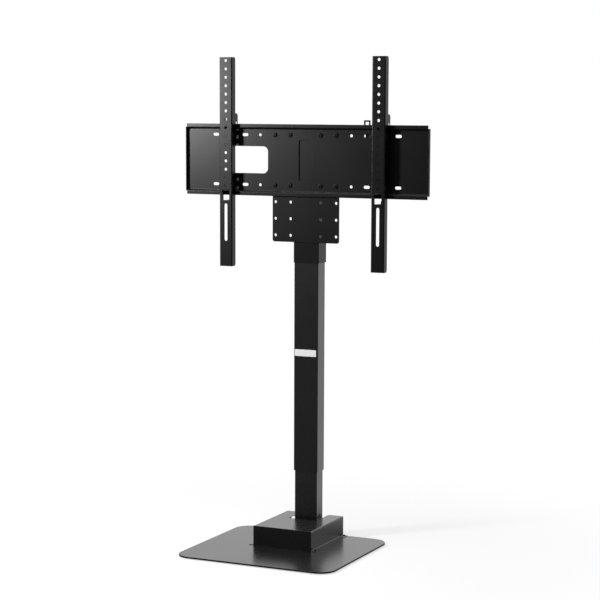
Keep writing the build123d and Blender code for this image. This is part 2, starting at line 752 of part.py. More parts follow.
# Adapter plate, welded to the head bracket
adapter_top = row_z[1] + adapter_margin
adapter_height = (adapter_rows - 1) * hole_pitch + 2 * adapter_margin
adapter_z = adapter_top - adapter_height / 2
columns_x = (-2 * hole_pitch, -hole_pitch, hole_pitch, 2 * hole_pitch)
rows_z = [row_z[1] - hole_pitch * row for row in range(adapter_rows)]
with BuildPart() as adapter_plate:
    with BuildSketch(Plane.XZ.offset(-adapter_front)):
        with Locations((0, adapter_z)):
            RectangleRounded(adapter_width, adapter_height, adapter_corner)
        with Locations(*[(x, z) for x in columns_x for z in rows_z]):
            Circle(hole_radius, mode=Mode.SUBTRACT)
    extrude(amount=-adapter_thickness)
adapter_plate.part.label = "adapter_plate"
export_step(adapter_plate.part, "parts/adapter_plate.step")

# Wall plate, a hat section with side flanges
flange_inner = web_height / 2 - plate_sheet
side_inner = plate_width / 2 - plate_sheet
with BuildPart() as wall_plate:
    with BuildSketch(Plane.YZ.offset(-plate_width / 2 + lip_end)):
        with BuildLine():
            FilletPolyline((lip_front, plate_z + plate_half_height), (lip_front, plate_z + flange_inner),
                           (web_front, plate_z + flange_inner), (web_front, plate_z - flange_inner),
                           (lip_front, plate_z - flange_inner), (lip_front, plate_z - plate_half_height),
                           radius=plate_bend)
            offset(amount=plate_sheet, side=Side.LEFT)
        make_face()
    extrude(amount=plate_width - 2 * lip_end)
    with BuildSketch(Plane.XY.offset(plate_z - web_height / 2)):
        with BuildLine():
            FilletPolyline((-side_inner, lip_front), (-side_inner, web_front), (side_inner, web_front),
                           (side_inner, lip_front), radius=plate_side_bend)
            offset(amount=plate_sheet, side=Side.LEFT)
        make_face()
    extrude(amount=web_height)
    with BuildSketch(Plane.XZ.offset(-web_front)):
        with Locations(*[(n * hole_pitch, z) for n in (-3, -2, -1, 1, 2, 3) for z in row_z]):
            Circle(hole_radius)
        with Locations(*[(n * hole_pitch, z) for n in (-6, -4, 4, 6) for z in row_z]):
            SlotOverall(slot_length, 2 * hole_radius)
        with Locations((window_x, plate_z)):
            RectangleRounded(window_width, window_height, window_corner)
        with Locations((0, plate_z)):
            RectangleRounded(opening_width, opening_height, opening_corner)
        with Locations(*[(spacer_x, plate_z + z) for z in spacer_z]):
            Circle(spacer_screw_radius + hole_slack)
    extrude(amount=-2 * plate_sheet, mode=Mode.SUBTRACT)
wall_plate.part.label = "wall_plate"
export_step(wall_plate.part, "parts/wall_plate.step")

# Bolts and nuts that join the wall plate and the adapter
bolt_spots = [(x, z) for x in columns_x for z in row_z]
plate_bolt = round_screw(bolt_radius, plate_sheet + adapter_thickness + nut_height + bolt_tail, m8_head)
with BuildPart() as plate_bolts:
    with Locations(*[facing("front", x, web_front, z) for x, z in bolt_spots]):
        add(plate_bolt)
plate_bolts.part.label = "plate_bolts"
export_step(plate_bolts.part, "parts/plate_bolts.step")

with BuildPart() as plate_nuts:
    with BuildSketch(Plane.XZ.offset(-bracket_front)):
        with Locations(*bolt_spots):
            RegularPolygon(radius=nut_across / 2, side_count=6, major_radius=False)
            Circle(bolt_radius + screw_fit, mode=Mode.SUBTRACT)
    extrude(amount=-nut_height)
plate_nuts.part.label = "plate_nuts"
export_step(plate_nuts.part, "parts/plate_nuts.step")

# Screen arms, one each side, with hooks over the plate's upper lip
arm_low = plate_z + arm_top - arm_length
hook_top = lip_top + hook_rise
hook_back = lip_front + hook_reach
throat_front = lip_back + play
throat_back = throat_front + hook_throat
tooth_end = plate_z + web_height / 2 + hook_end_gap
for side, sign in (("left", -1), ("right", 1)):
    middle = sign * arm_x
    with BuildPart() as arm:
        with BuildSketch(Plane.XY.offset(arm_low)):
            with BuildLine():
                FilletPolyline((middle - arm_width / 2, arm_back), (middle - arm_width / 2, arm_front),
                               (middle + arm_width / 2, arm_front), (middle + arm_width / 2, arm_back),
                               radius=arm_bend)
                offset(amount=arm_sheet, side=Side.LEFT)
            make_face()
        extrude(amount=arm_length)
        rear = arm.edges().filter_by(Axis.X).group_by(Axis.Y)[-1]
        fillet(rear, radius=arm_corner)
        for x in (middle - arm_width / 2, middle + arm_width / 2 - arm_sheet):
            with BuildSketch(Plane.YZ.offset(x)):
                with BuildLine():
                    Polyline((arm_back - hook_root, lip_top + slide_gap), (throat_front, lip_top + slide_gap),
                             (throat_front, lip_top + hook_relief), (throat_back, lip_top + hook_relief),
                             (throat_back, tooth_end), (hook_back, tooth_end),
                             (hook_back, hook_top - hook_corner))
                    RadiusArc((hook_back, hook_top - hook_corner), (hook_back - hook_corner, hook_top),
                              -hook_corner)
                    Polyline((hook_back - hook_corner, hook_top), (arm_back - hook_root, hook_top),
                             (arm_back - hook_root, lip_top + slide_gap))
                make_face()
            extrude(amount=arm_sheet)
        with BuildSketch(Plane.XZ.offset(-arm_front)):
            with Locations(*[(middle, plate_z + arm_top - arm_hole_first - arm_hole_pitch * n)
                             for n in range(arm_hole_count)]):
                Circle(arm_hole_radius)
            with Locations((middle, tab_top + arm_window_height / 2)):
                RectangleRounded(arm_window_width, arm_window_height, arm_window_corner)
            with Locations((middle, plate_z - arm_slot_top - arm_slot_length / 2)):
                SlotOverall(arm_slot_length, arm_slot_width, rotation=90)
        extrude(amount=-2 * arm_sheet, mode=Mode.SUBTRACT)
        with Locations((middle, arm_front, tab_bottom)):
            Box(tab_width, tab_reach, arm_sheet, align=(Align.CENTER, Align.MIN, Align.MIN))
        with Locations((middle, lock_y, tab_bottom)):
            Cylinder(lock_radius + running, 4 * arm_sheet, mode=Mode.SUBTRACT)
    arm.part.label = f"{side}_arm"
    export_step(arm.part, f"parts/{side}_arm.step")

    with BuildPart() as lock_nut:
        with Locations((middle, lock_y, tab_bottom)):
            Box(lock_nut_side, lock_nut_depth, lock_nut_height,
                align=(Align.CENTER, Align.CENTER, Align.MAX))
            Cylinder(lock_radius + running, 4 * lock_nut_height, mode=Mode.SUBTRACT)
    lock_nut.part.label = f"{side}_lock_nut"
    export_step(lock_nut.part, f"parts/{side}_lock_nut.step")

    lock_tip = tab_top + lock_tips[side]
    with BuildPart() as lock_screw:
        with Locations((middle, lock_y, lock_tip - lock_length)):
            Cylinder(lock_radius, lock_length, align=(Align.CENTER, Align.CENTER, Align.MIN))
            Cylinder(lock_head_radius, lock_head_height, align=(Align.CENTER, Align.CENTER, Align.MAX))
            with PolarLocations(lock_head_radius, lock_flutes):
                Cylinder(lock_flute, 3 * lock_head_height, mode=Mode.SUBTRACT)
        chamfer(lock_screw.edges().filter_by(GeomType.CIRCLE).sort_by(Axis.Z)[-1], length=lock_tip_edge)
    lock_screw.part.label = f"{side}_lock_screw"
    export_step(lock_screw.part, f"parts/{side}_lock_screw.step")

# Holder behind the plate, with a loop that stands above the plate's top
tray_screw_z = (box_z + box_height / 2 - tray_screw_inset, box_z - box_height / 2 + tray_screw_inset)
loop_x = holder_left + strap_width - loop_width / 2
with BuildPart() as box_holder:
    with BuildSketch(Plane.XZ.offset(-holder_front)):
        with Locations(((holder_left + holder_right) / 2, plate_z + (holder_low + holder_high) / 2)):
            RectangleRounded(holder_right - holder_left, holder_high - holder_low, holder_corner)
        with Locations((holder_left, plate_z + holder_high - strap_overlap)):
            Rectangle(strap_width, loop_top - holder_high + strap_overlap - loop_side,
                      align=(Align.MIN, Align.MIN))
        with Locations((loop_x, plate_z + loop_top - loop_side - loop_window_height / 2)):
            RectangleRounded(loop_width, loop_window_height + 2 * loop_side, loop_corner)
            Rectangle(loop_window_width, loop_window_height, mode=Mode.SUBTRACT)
        with Locations(*[(spacer_x, plate_z + z) for z in spacer_z]):
            Circle(spacer_screw_radius + hole_slack, mode=Mode.SUBTRACT)
        with Locations(*[(box_x, plate_z + z) for z in tray_screw_z]):
            Circle(post_bore + hole_slack, mode=Mode.SUBTRACT)
    extrude(amount=-holder_sheet)
box_holder.part.label = "box_holder"
export_step(box_holder.part, "parts/box_holder.step")

# Spacers between the plate and the holder, and their screws
with BuildPart() as holder_spacers:
    with BuildSketch(Plane.XZ.offset(-web_front - plate_sheet)):
        with Locations(*[(spacer_x, plate_z + z) for z in spacer_z]):
            Circle(spacer_radius)
            Circle(spacer_screw_radius + screw_fit, mode=Mode.SUBTRACT)
    extrude(amount=-holder_gap)
holder_spacers.part.label = "holder_spacers"
export_step(holder_spacers.part, "parts/holder_spacers.step")

holder_screw = round_screw(spacer_screw_radius, plate_sheet + holder_gap + holder_sheet, m5_head)
with BuildPart() as holder_screws:
    with Locations(*[facing("front", spacer_x, web_front, plate_z + z) for z in spacer_z]):
        add(holder_screw)
holder_screws.part.label = "holder_screws"
export_step(holder_screws.part, "parts/holder_screws.step")

# Control box tray, open at the back, with corner posts and board stands
box_middle = plate_z + box_z
post_spots = [(box_x + x, box_middle + z) for x in (-box_width / 2 + post_inset, box_width / 2 - post_inset)
              for z in (-box_height / 2 + post_inset, box_height / 2 - post_inset)]
with BuildPart() as box_tray:
    with BuildSketch(Plane.XZ.offset(-box_front)):
        with Locations((box_x, box_middle)):
            RectangleRounded(box_width, box_height, box_corner)
    extrude(amount=-box_depth)
    with BuildSketch(Plane.XZ.offset(-box_front - box_wall)):
        with Locations((box_x, box_middle)):
            RectangleRounded(box_width - 2 * box_wall, box_height - 2 * box_wall, box_corner - box_wall)
    extrude(amount=-box_depth, mode=Mode.SUBTRACT)
    with BuildSketch(Plane.XZ.offset(-box_front - box_wall)):
        with Locations(*post_spots):
            Circle(post_radius)
    extrude(amount=-(box_depth - box_wall))
    with BuildSketch(Plane.XZ.offset(-box_front - box_wall)):
        with Locations(*[(box_x, plate_z + z) for z in tray_screw_z]):
            Circle(stand_radius)
    extrude(amount=-board_stand)
    with BuildSketch(Plane.XZ.offset(-box_front - box_depth)):
        with Locations(*post_spots):
            Circle(post_bore + screw_fit)
    extrude(amount=post_depth, mode=Mode.SUBTRACT)
    with BuildSketch(Plane.XZ.offset(-box_front)):
        with Locations(*[(box_x, plate_z + z) for z in tray_screw_z]):
            Circle(post_bore + screw_fit)
    extrude(amount=-box_wall - board_stand + stand_floor, mode=Mode.SUBTRACT)
    with Locations((box_x, box_front + box_depth / 2, box_middle - box_height / 2)):
        Box(inlet_width, inlet_depth, 4 * box_wall, mode=Mode.SUBTRACT)
    with Locations((box_x, box_front + box_depth / 2, box_middle + box_height / 2)):
        Cylinder(socket_radius + screw_fit, 4 * box_wall, mode=Mode.SUBTRACT)
box_tray.part.label = "box_tray"
export_step(box_tray.part, "parts/box_tray.step")

# Screws from the holder into the tray
tray_screw = round_screw(post_bore, holder_sheet + box_wall + tray_screw_grip, small_head)
with BuildPart() as tray_screws:
    with Locations(*[facing("front", box_x, holder_front, plate_z + z) for z in tray_screw_z]):
        add(tray_screw)
tray_screws.part.label = "tray_screws"
export_step(tray_screws.part, "parts/tray_screws.step")

# Lid of the control box
switch_at = (box_x, box_middle + switch_z)
lip_width = box_width - 4 * post_inset
lip_length = box_height - 2 * box_wall - 2 * slide_gap
with BuildPart() as box_lid:
    with BuildSketch(Plane.XZ.offset(-lid_front)):
        with Locations((box_x, box_middle)):
            RectangleRounded(box_width, box_height, box_corner)
    extrude(amount=-lid_thickness)
    fillet(box_lid.faces().sort_by(Axis.Y)[-1].edges(), radius=lid_edge)
    with BuildSketch(Plane.XZ.offset(-lid_front)):
        with Locations((box_x, box_middle)):
            Rectangle(lip_width, lip_length)
            Rectangle(lip_width - 2 * lid_lip_wall, lip_length - 2 * lid_lip_wall, mode=Mode.SUBTRACT)
    extrude(amount=lid_lip)
    with BuildSketch(Plane.XZ.offset(-lid_front - lid_thickness)):
        with Locations(*post_spots):
            Circle(post_bore + hole_slack)
        with Locations(switch_at):
            Circle(button_radius + play)
    extrude(amount=lid_thickness, mode=Mode.SUBTRACT)
box_lid.part.label = "box_lid"
export_step(box_lid.part, "parts/box_lid.step")

lid_screw = round_screw(post_bore, lid_thickness + lid_screw_grip, small_head)
with BuildPart() as lid_screws:
    with Locations(*[facing("back", x, lid_front + lid_thickness, z) for x, z in post_spots]):
        add(lid_screw)
lid_screws.part.label = "lid_screws"
export_step(lid_screws.part, "parts/lid_screws.step")

# Control board with its push switch
board_front = box_front + box_wall + board_stand
with BuildPart() as control_board:
    with BuildSketch(Plane.XZ.offset(-board_front)):
        with Locations((box_x, box_middle)):
            Rectangle(board_width, board_height)
    extrude(amount=-board_thickness)
    with BuildSketch(Plane.XZ.offset(-board_front - board_thickness)):
        with Locations(switch_at):
            Rectangle(switch_side, switch_side)
        for width, height, x, z in (transformer, *relays):
            with Locations((box_x + x, box_middle + z)):
                Rectangle(width, height)
    extrude(amount=-switch_height)
control_board.part.label = "control_board"
export_step(control_board.part, "parts/control_board.step")

# Push button in the lid, resting just off the switch
stem_end = board_front + board_thickness + switch_height + play + button_travel
button_back = lid_front - play
with BuildPart() as pair_button:
    with Locations(facing("back", switch_at[0], button_back, switch_at[1])):
        Cylinder(button_radius, lid_thickness + play + button_proud,
                 align=(Align.CENTER, Align.CENTER, Align.MIN))
        Cylinder(button_radius + button_flange, button_flange_height,
                 align=(Align.CENTER, Align.CENTER, Align.MAX))
        Cylinder(button_stem, button_back - stem_end, align=(Align.CENTER, Align.CENTER, Align.MAX))
pair_button.part.label = "pair_button"
export_step(pair_button.part, "parts/pair_button.step")

# Power inlet below the box and motor socket above it
with BuildPart() as power_inlet:
    with Locations((box_x, box_front + box_depth / 2, box_middle - box_height / 2)):
        Box(inlet_width + 2 * inlet_rim, inlet_depth + 2 * inlet_rim, rim_height,
            align=(Align.CENTER, Align.CENTER, Align.MAX))
        Box(inlet_width - slide_gap, inlet_depth - slide_gap, inlet_length,
            align=(Align.CENTER, Align.CENTER, Align.MIN))
    with BuildSketch(Plane.XY.offset(box_middle - box_height / 2 - rim_height)):
        with Locations((box_x, box_front + box_depth / 2)):
            RectangleRounded(inlet_width - 2 * inlet_wall, inlet_depth - 2 * inlet_wall, inlet_corner)
    extrude(amount=rim_height + recess_depth, mode=Mode.SUBTRACT)
power_inlet.part.label = "power_inlet"
export_step(power_inlet.part, "parts/power_inlet.step")

with BuildPart() as motor_socket:
    with Locations((box_x, box_front + box_depth / 2, box_middle + box_height / 2)):
        Cylinder(socket_radius + inlet_rim, rim_height, align=(Align.CENTER, Align.CENTER, Align.MIN))
        Cylinder(socket_radius, socket_length, align=(Align.CENTER, Align.CENTER, Align.MAX))
    with BuildSketch(Plane.XY.offset(box_middle + box_height / 2 + rim_height)):
        with Locations((box_x, box_front + box_depth / 2)):
            Circle(socket_radius - socket_wall)
    extrude(amount=-rim_height - recess_depth, mode=Mode.SUBTRACT)
motor_socket.part.label = "motor_socket"
export_step(motor_socket.part, "parts/motor_socket.step")
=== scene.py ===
import json
import math

import bmesh
import bpy
from mathutils import Matrix, Vector


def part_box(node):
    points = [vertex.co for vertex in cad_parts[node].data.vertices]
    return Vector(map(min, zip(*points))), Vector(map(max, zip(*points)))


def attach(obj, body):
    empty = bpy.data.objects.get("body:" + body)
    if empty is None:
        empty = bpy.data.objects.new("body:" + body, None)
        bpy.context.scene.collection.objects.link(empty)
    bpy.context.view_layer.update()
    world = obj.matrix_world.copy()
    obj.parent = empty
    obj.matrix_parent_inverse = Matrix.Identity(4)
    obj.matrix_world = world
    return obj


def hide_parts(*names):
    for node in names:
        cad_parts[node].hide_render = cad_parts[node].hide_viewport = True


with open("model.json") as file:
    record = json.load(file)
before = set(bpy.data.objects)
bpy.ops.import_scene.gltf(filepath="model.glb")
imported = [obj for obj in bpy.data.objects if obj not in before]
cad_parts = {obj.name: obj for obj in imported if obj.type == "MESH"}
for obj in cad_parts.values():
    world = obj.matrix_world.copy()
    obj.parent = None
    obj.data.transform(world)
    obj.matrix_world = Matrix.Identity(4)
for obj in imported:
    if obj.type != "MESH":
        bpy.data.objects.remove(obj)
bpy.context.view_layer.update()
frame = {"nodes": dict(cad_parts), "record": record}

# The stand at rest: metres, +Z up, the front faces -Y, the origin on the floor under the base.
mm = 0.001


class Wire:
    """One value on its way through a finish. Each sum on it adds a Math node."""

    def __init__(self, finish, socket):
        self.finish = finish
        self.socket = socket

    def math(self, operation, *others):
        return self.finish.node("Math", {"operation": operation}, dict(enumerate((self, *others))))

    def __add__(self, other):
        return self.math("ADD", other)

    def __mul__(self, other):
        return self.math("MULTIPLY", other)

    def __sub__(self, other):
        return self.math("SUBTRACT", other)

    def __rsub__(self, other):
        return self.finish.node("Math", {"operation": "SUBTRACT"}, {0: other, 1: self})

    def step(self, low, high):
        """0 below low, 1 above high, and an eased rise between them."""
        return self.finish.node("MapRange", {"interpolation_type": "SMOOTHSTEP"},
                                {"Value": self, "From Min": low, "From Max": high})


class Finish:
    """One surface's material, or the world's, made from nodes."""

    def __init__(self, name, shelf=bpy.data.materials):
        self.material = shelf.new(name)
        self.material.use_nodes = True
        self.tree = self.material.node_tree
        self.tree.nodes.clear()

    def node(self, kind, settings, inputs, output=0):
        made = self.tree.nodes.new("ShaderNode" + kind)
        for key, value in settings.items():
            setattr(made, key, value)
        for key, value in inputs.items():
            if isinstance(value, Wire):
                self.tree.links.new(value.socket, made.inputs[key])
            else:
                made.inputs[key].default_value = value
        return Wire(self, made.outputs[output]) if made.outputs else None

    def place(self, stretch=(1, 1, 1)):
        """The point on the piece in metres, squeezed along each axis by stretch."""
        here = self.node("TexCoord", {}, {}, "Object")
        return self.node("Mapping", {}, {"Vector": here, "Scale": stretch})

    def along(self):
        """The point's x, y and z."""
        here = self.node("TexCoord", {}, {}, "Object")
        return [self.node("SeparateXYZ", {}, {"Vector": here}, axis) for axis in "XYZ"]

    def noise(self, size, detail=2.0, stretch=(1, 1, 1), seed=0.0):
        """Cloudy noise from 0 to 1 with lumps of about the given size in metres."""
        return self.node("TexNoise", {"noise_dimensions": "4D"},
                         {"Vector": self.place(stretch), "W": seed, "Scale": 0.5 / size, "Detail": detail})

    def grains(self, size):
        """Distance to the nearest of scattered grains, 0 to about 1."""
        return self.node("TexVoronoi", {}, {"Vector": self.place(), "Scale": 1 / size})

    def blend(self, share, first, second):
        """Colour first where share is 0, and second where it is 1."""
        return self.node("Mix", {"data_type": "RGBA"}, {0: share, 6: first, 7: second}, 2)

    def surface(self, height=None, depth=0.0, **sockets):
        """The Principled surface. height is the relief as 0 to 1, and depth is how deep it is in metres."""
        inputs = {key.replace("_", " "): value for key, value in sockets.items()}
        if height is not None:
            inputs["Normal"] = self.node("Bump", {}, {"Height": height, "Distance": depth, "Strength": 1.0})
        shader = self.node("BsdfPrincipled", {}, inputs)
        self.node("OutputMaterial", {}, {"Surface": shader})
        return self.material


def grey(level, warm=0.0):
    return (level + warm, level, level - warm, 1)


# Finishes, one for each kind of surface on the stand
def satin_powder_coat():
    """Black powder coat, baked on sheet steel: fine orange peel with a slow drift in its gloss."""
    coat = Finish("satin_powder_coat")
    cloud = coat.noise(0.09, 3)
    peel = coat.noise(0.0011, 2, seed=3.0)
    dust = coat.grains(0.0022)
    speck = 1 - dust.step(0.03, 0.09)
    colour = coat.blend(cloud, grey(0.0028), grey(0.0046))
    colour = coat.blend(speck * 0.25, colour, grey(0.05))
    return coat.surface(peel, 12e-6, Base_Color=colour, Roughness=cloud * 0.06 + peel * 0.04 + 0.215,
                        Coat_Weight=0.3, Coat_Roughness=0.22)


def painted_shade_powder_coat():
    """The flatter black on the screen carrying sheets, its colour painted darker than the satin coat as
    shade: coarser peel, wide dim highlights.
    """
    coat = Finish("painted_shade_powder_coat")
    cloud = coat.noise(0.07, 3)
    peel = coat.noise(0.0009, 3, seed=3.0)
    # painted shade: the same black at about half the satin coat's colour
    colour = coat.blend(cloud, grey(0.0014), grey(0.0026))
    colour = coat.blend(peel.step(0.66, 0.8) * 0.3, colour, grey(0.014))
    return coat.surface(peel, 14e-6, Base_Color=colour, Roughness=cloud * 0.05 + peel * 0.03 + 0.285,
                        IOR=1.3)


def rubbed_powder_coat():
    """The same coat on the fixed tube, burnished upright by the glides that run on it."""
    coat = Finish("rubbed_powder_coat")
    cloud = coat.noise(0.09, 3)
    peel = coat.noise(0.0011, 2, seed=3.0)
    rub = coat.noise(0.0012, 3, (1, 1, 0.01), 5.0).step(0.52, 0.72)
    colour = coat.blend(cloud, grey(0.0045), grey(0.0070))
    colour = coat.blend(rub * 0.3, colour, grey(0.025))
    return coat.surface(peel - rub * 0.4, 12e-6, Base_Color=colour,
                        Roughness=cloud * 0.06 - rub * 0.04 + 0.24, Coat_Weight=0.3, Coat_Roughness=0.22)


def pad_rubber():
    rubber = Finish("pad_rubber")
    grain = rubber.noise(0.0007, 3)
    chalk = rubber.noise(0.012, 4)
    colour = rubber.blend(chalk.step(0.4, 0.8), grey(0.035), grey(0.06, 0.002))
    return rubber.surface(grain, 60e-6, Base_Color=colour, Roughness=chalk * 0.15 + 0.72)


def black_oxide():
    """Oiled black oxide on the visible bolts and screws."""
    oxide = Finish("black_oxide")
    stain = oxide.noise(0.0025, 4)
    grain = oxide.noise(0.0003, 2)
    colour = oxide.blend(stain.step(0.3, 0.8), grey(0.005), grey(0.012, 0.001))
    return oxide.surface(grain, 8e-6, Base_Color=colour, Roughness=stain * 0.12 + 0.28, IOR=1.22)


def zinc_plating():
    """Bright zinc with cloudy passivation and a hint of yellow."""
    zinc = Finish("zinc_plating")
    cloud = zinc.noise(0.003, 4)
    tint = zinc.noise(0.006, 2, seed=7.0)
    grain = zinc.noise(0.0002, 2)
    colour = zinc.blend(cloud, grey(0.52), grey(0.68, 0.01))
    colour = zinc.blend(tint.step(0.5, 0.8) * 0.3, colour, (0.62, 0.60, 0.48, 1))
    return zinc.surface(grain, 6e-6, Base_Color=colour, Roughness=cloud * 0.16 + 0.26, Metallic=1.0)


def dipped_steel():
    """Plain steel under a thin dipped black coat, mill scale showing through."""
    steel = Finish("dipped_steel")
    scale = steel.noise(0.008, 5)
    grain = steel.noise(0.0006, 3)
    thin = scale.step(0.55, 0.75)
    colour = steel.blend(thin, grey(0.03), (0.085, 0.08, 0.078, 1))
    return steel.surface(grain, 25e-6, Base_Color=colour, Roughness=0.55 - thin * 0.12, Metallic=0.3)


def ground_steel():
    """Round steel ground in a lathe: fine rings across its length and a film of grease."""
    steel = Finish("ground_steel")
    rings = steel.noise(0.0004, 2, (0.02, 0.02, 1))
    film = steel.noise(0.02, 3)
    colour = steel.blend(film, grey(0.52), grey(0.68, 0.005))
    return steel.surface(rings, 5e-6, Base_Color=colour, Roughness=film * 0.12 + rings * 0.08 + 0.14,
                         Metallic=1.0)


def machined_bronze():
    bronze = Finish("machined_bronze")
    rings = bronze.noise(0.0005, 2, (0.03, 0.03, 1))
    tarnish = bronze.noise(0.006, 4)
    colour = bronze.blend(tarnish.step(0.35, 0.8), (0.66, 0.42, 0.17, 1), (0.42, 0.24, 0.09, 1))
    return bronze.surface(rings, 8e-6, Base_Color=colour, Roughness=tarnish * 0.2 + 0.2, Metallic=1.0)


def glide_plastic():
    """Natural acetal, a little translucent, with scuffs where it slides."""
    acetal = Finish("glide_plastic")
    scuff = acetal.noise(0.0008, 3, (1, 1, 0.03)).step(0.5, 0.75)
    mould = acetal.noise(0.004, 3)
    colour = acetal.blend(mould, (0.80, 0.79, 0.74, 1), (0.87, 0.86, 0.82, 1))
    colour = acetal.blend(scuff * 0.4, colour, (0.55, 0.54, 0.50, 1))
    return acetal.surface(scuff, 20e-6, Base_Color=colour, Roughness=scuff * 0.2 + 0.34,
                          Subsurface_Weight=0.15, Subsurface_Scale=0.002)


def cast_aluminium():
    """Die cast block: sandy skin with flow marks."""
    cast = Finish("cast_aluminium")
    sand = cast.noise(0.0007, 4)
    flow = cast.noise(0.012, 4, (1, 1, 0.4))
    colour = cast.blend(flow, grey(0.44), grey(0.60, 0.004))
    return cast.surface(sand, 45e-6, Base_Color=colour, Roughness=sand * 0.2 + 0.36, Metallic=1.0)


def plated_can():
    """Drawn and plated motor can, faint draw lines along its length."""
    can = Finish("plated_can")
    draw = can.noise(0.0006, 3, (1, 1, 0.02))
    cloud = can.noise(0.02, 3)
    colour = can.blend(cloud, grey(0.34), grey(0.46))
    return can.surface(draw, 6e-6, Base_Color=colour, Roughness=draw * 0.12 + 0.26, Metallic=1.0)


def textured_plastic():
    """Black moulded plastic with a fine spark eroded texture."""
    plastic = Finish("textured_plastic")
    spark = plastic.noise(0.0005, 3)
    flow = plastic.noise(0.03, 2)
    colour = plastic.blend(flow, grey(0.022), grey(0.032, 0.0005))
    return plastic.surface(spark, 35e-6, Base_Color=colour, Roughness=spark * 0.14 + 0.42)


def label_paper():
    """A bare white label: coated paper with a faint weave of fibres."""
    paper = Finish("label_paper")
    fibre = paper.noise(0.0006, 4, (1, 1, 0.35))
    cloud = paper.noise(0.01, 2)
    colour = paper.blend(fibre * 0.5, grey(0.572), (0.54, 0.54, 0.533, 1))
    return paper.surface(fibre, 12e-6, Base_Color=colour, Roughness=cloud * 0.1 + 0.42)


def lacquered_board():
    """Green solder lacquer over copper tracks, with dark parts standing on it."""
    board = Finish("lacquered_board")
    x, y, z = board.along()
    lanes = board.node("TexBrick", {"offset": 0.37}, {
        "Vector": board.node("CombineXYZ", {}, {"X": x, "Y": z}), "Scale": 300.0, "Mortar Size": 0.012,
        "Mortar Smooth": 0.2}, "Fac")
    low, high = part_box("control_board")
    board_face = low.y + 1.6 * mm
    parts = y.step(board_face + 0.1 * mm, board_face + 0.3 * mm)
    cloud = board.noise(0.008, 3)
    colour = board.blend(cloud, (0.020, 0.13, 0.045, 1), (0.028, 0.17, 0.06, 1))
    colour = board.blend(lanes * 0.6, colour, (0.05, 0.28, 0.10, 1))
    colour = board.blend(parts, colour, grey(0.02))
    return board.surface(lanes * (1 - parts), 35e-6, Base_Color=colour,
                         Roughness=cloud * 0.1 + parts * 0.2 + 0.2)


def weld_metal():
    """Weld bead under the powder coat: the same black, smoother and shinier over the ripples."""
    weld = Finish("coated_weld")
    ripple = weld.noise(0.0016, 3)
    colour = weld.blend(ripple, grey(0.010), grey(0.018))
    return weld.surface(ripple, 40e-6, Base_Color=colour, Roughness=ripple * 0.1 + 0.26)


def tinned_pin():
    pin = Finish("tinned_pin")
    wear = pin.noise(0.001, 3)
    colour = pin.blend(wear, (0.70, 0.66, 0.56, 1), (0.78, 0.76, 0.70, 1))
    return pin.surface(wear, 5e-6, Base_Color=colour, Roughness=wear * 0.15 + 0.18, Metallic=1.0)


finishes = {
    "black_coat": satin_powder_coat(),
    "pad_rubber": pad_rubber(),
    "black_fastener": black_oxide(),
    "zinc_fastener": zinc_plating(),
    "plain_steel": dipped_steel(),
    "bright_steel": ground_steel(),
    "bronze": machined_bronze(),
    "glide_plastic": glide_plastic(),
    "cast_block": cast_aluminium(),
    "motor_can": plated_can(),
    "black_plastic": textured_plastic(),
    "white_label": label_paper(),
    "green_board": lacquered_board(),
}
painted_shade_coat = painted_shade_powder_coat()
# the screen carrying sheets get the darker copy of the coat, which paints shade on them
own_finish = {"inner_tube": rubbed_powder_coat(), "wall_plate": painted_shade_coat, "adapter_plate": painted_shade_coat,
              "head_bracket": painted_shade_coat, "left_arm": painted_shade_coat, "right_arm": painted_shade_coat}

# Edge rounding of the CAD nodes in millimetres: laser cut sheet is deburred, moulded parts are softer
edge_rounding = {
    "base_cover": 0.4, "inner_tube": 0.3, "outer_tube": 0.4, "head_bracket": 0.35,
    "adapter_plate": 0.5, "wall_plate": 0.7, "left_arm": 0.4, "right_arm": 0.4, "box_holder": 0.4,
    "box_tray": 0.4, "outer_cap": 0.3, "foot_plate": 0.5, "plate_nuts": 0.5, "left_lock_nut": 0.4,
    "right_lock_nut": 0.4, "power_inlet": 0.3, "motor_socket": 0.3, "cable_gland": 0.4, "base_pads": 0.2,
    "blank_label": 0.1, "gearbox": 0.4, "motor_mount": 0.5, "bearing_block": 0.5,
}

# The CAD's triangles are joined into flat faces first, because rounding them as they are left a false line
# across the wall plate
merge_distance = 2e-6           # metres, within which corners become one
flat_angle = math.radians(0.2)  # neighbours that bend less than this become one face
edge_angle = math.radians(40)   # edges sharper than this are rounded

for entry in frame["record"]["subparts"]:
    node = frame["nodes"][entry["node"]]
    finish = own_finish.get(entry["node"], finishes[entry["material_slot"]])
    for place in node.material_slots:
        place.link = "OBJECT"
        place.material = finish
    rounding = edge_rounding.get(entry["node"], 0.0)
    if rounding:
        weld = node.modifiers.new("joined", "WELD")
        weld.merge_threshold = merge_distance
        flat = node.modifiers.new("flat", "DECIMATE")
        flat.decimate_type = "DISSOLVE"
        flat.angle_limit = flat_angle
        soft = node.modifiers.new("rounded", "BEVEL")
        soft.width = rounding * mm
        soft.segments = 2
        soft.limit_method = "ANGLE"
        soft.angle_limit = edge_angle
        soft.use_clamp_overlap = False
        even = node.modifiers.new("even", "WEIGHTED_NORMAL")
        even.weight = 100


def piece(name, shape, finish, body, slot, *nodes, angle=35):
    """Makes the piece, smooth but for edges sharper than angle, and lets it ride on its body."""
    bmesh.ops.recalc_face_normals(shape, faces=shape.faces)
    mesh = bpy.data.meshes.new(name)
    shape.to_mesh(mesh)
    shape.free()
    mesh.shade_smooth()
    mesh.set_sharp_from_angle(angle=math.radians(angle))
    made = bpy.data.objects.new(name, mesh)
    made.data.materials.append(finish)
    bpy.context.scene.collection.objects.link(made)
    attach(made, body)
    if nodes:
        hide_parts(*nodes)


def middle(low, high):
    """The upright axis through the middle of a box, as x and y in millimetres."""
    return (low.x + high.x) / 2 / mm, (low.y + high.y) / 2 / mm


